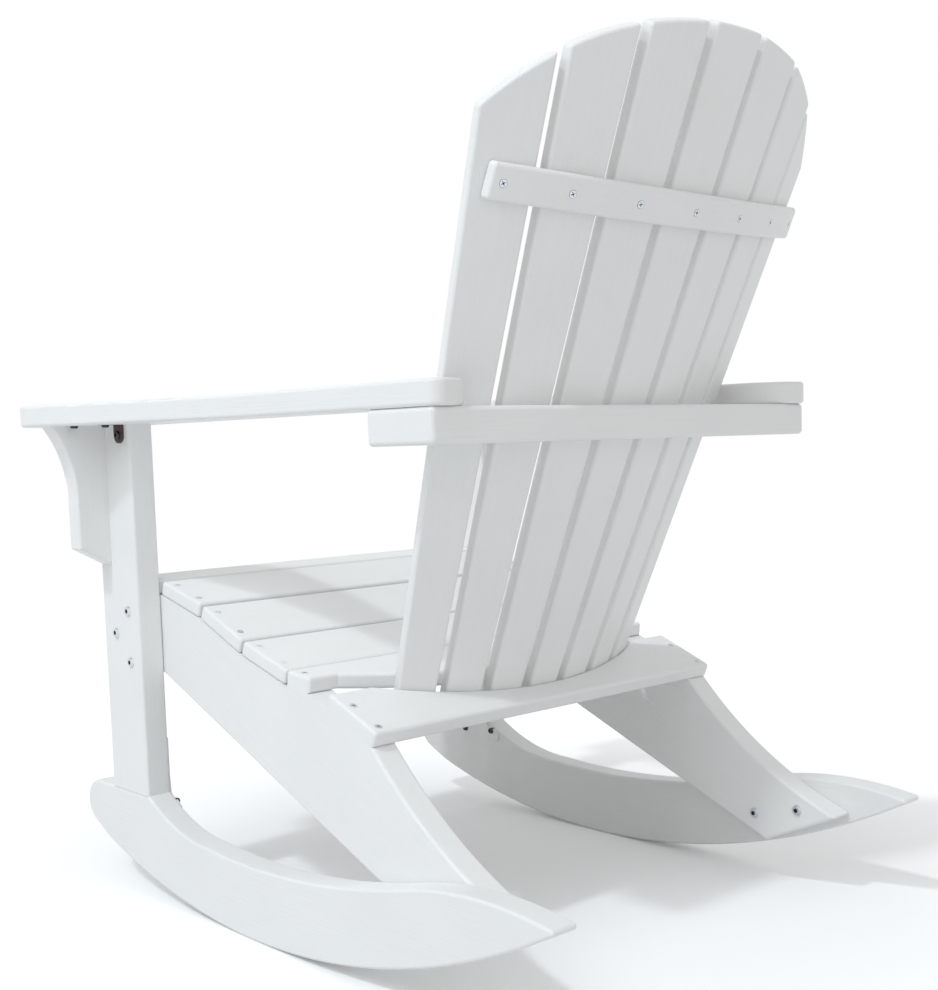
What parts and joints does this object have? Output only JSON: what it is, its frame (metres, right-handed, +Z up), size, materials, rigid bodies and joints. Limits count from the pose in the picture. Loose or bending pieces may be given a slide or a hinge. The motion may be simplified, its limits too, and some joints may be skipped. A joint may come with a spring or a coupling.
{
  "type": "rocking adirondack chair",
  "caption": "Outdoor rocking chair of white plastic boards, with a fanned slatted back, a sloping slatted seat, broad arms and curved runners.",
  "frame": {"origin": "on the floor, in the middle of the chair's footprint", "axes": "+Z up, +X to the sitter's left, and the sitter faces -Y"},
  "size_m": [0.799, 0.855, 0.9515],
  "materials": {
    "white_board": "satin extruded plastic board",
    "white_plate": "white powder coat",
    "dark_angle": "dark coated steel",
    "steel": "stainless steel",
    "dark_bolt": "dark coated steel",
    "insert_brass": "plain brass"
  },
  "bodies": {
    "root": {"rocker_left": "white_board", "rocker_right": "white_board", "front_leg_left": "white_board", "front_leg_right": "white_board", "seat_rail_left": "white_board", "seat_rail_right": "white_board", "arm_left": "white_board", "arm_right": "white_board", "arm_bracket_left": "white_board", "arm_bracket_right": "white_board", "front_apron": "white_board", "seat_slat_1": "white_board", "seat_slat_2": "white_board", "seat_slat_3": "white_board", "seat_slat_4": "white_board", "seat_slat_5": "white_board", "rear_seat_brace": "white_board", "back_slat_1": "white_board", "back_slat_2": "white_board", "back_slat_3": "white_board", "back_slat_4": "white_board", "back_slat_5": "white_board", "back_slat_6": "white_board", "back_slat_7": "white_board", "upper_back_brace": "white_board", "arm_rail": "white_board", "leg_cleat_left": "white_plate", "leg_cleat_right": "white_plate", "angle_bracket_left": "dark_angle", "angle_bracket_right": "dark_angle", "seat_slat_screws": "steel", "rear_brace_screws": "steel", "upper_brace_screws": "steel", "back_slat_screws": "steel", "apron_screws": "steel", "leg_bolts": "steel", "rail_bolts": "steel", "angle_bracket_screws": "steel", "arm_screws": "steel", "arm_bracket_screws": "steel", "cleat_bolts": "dark_bolt", "threaded_inserts": "insert_brass"}
  },
  "joints": []
}
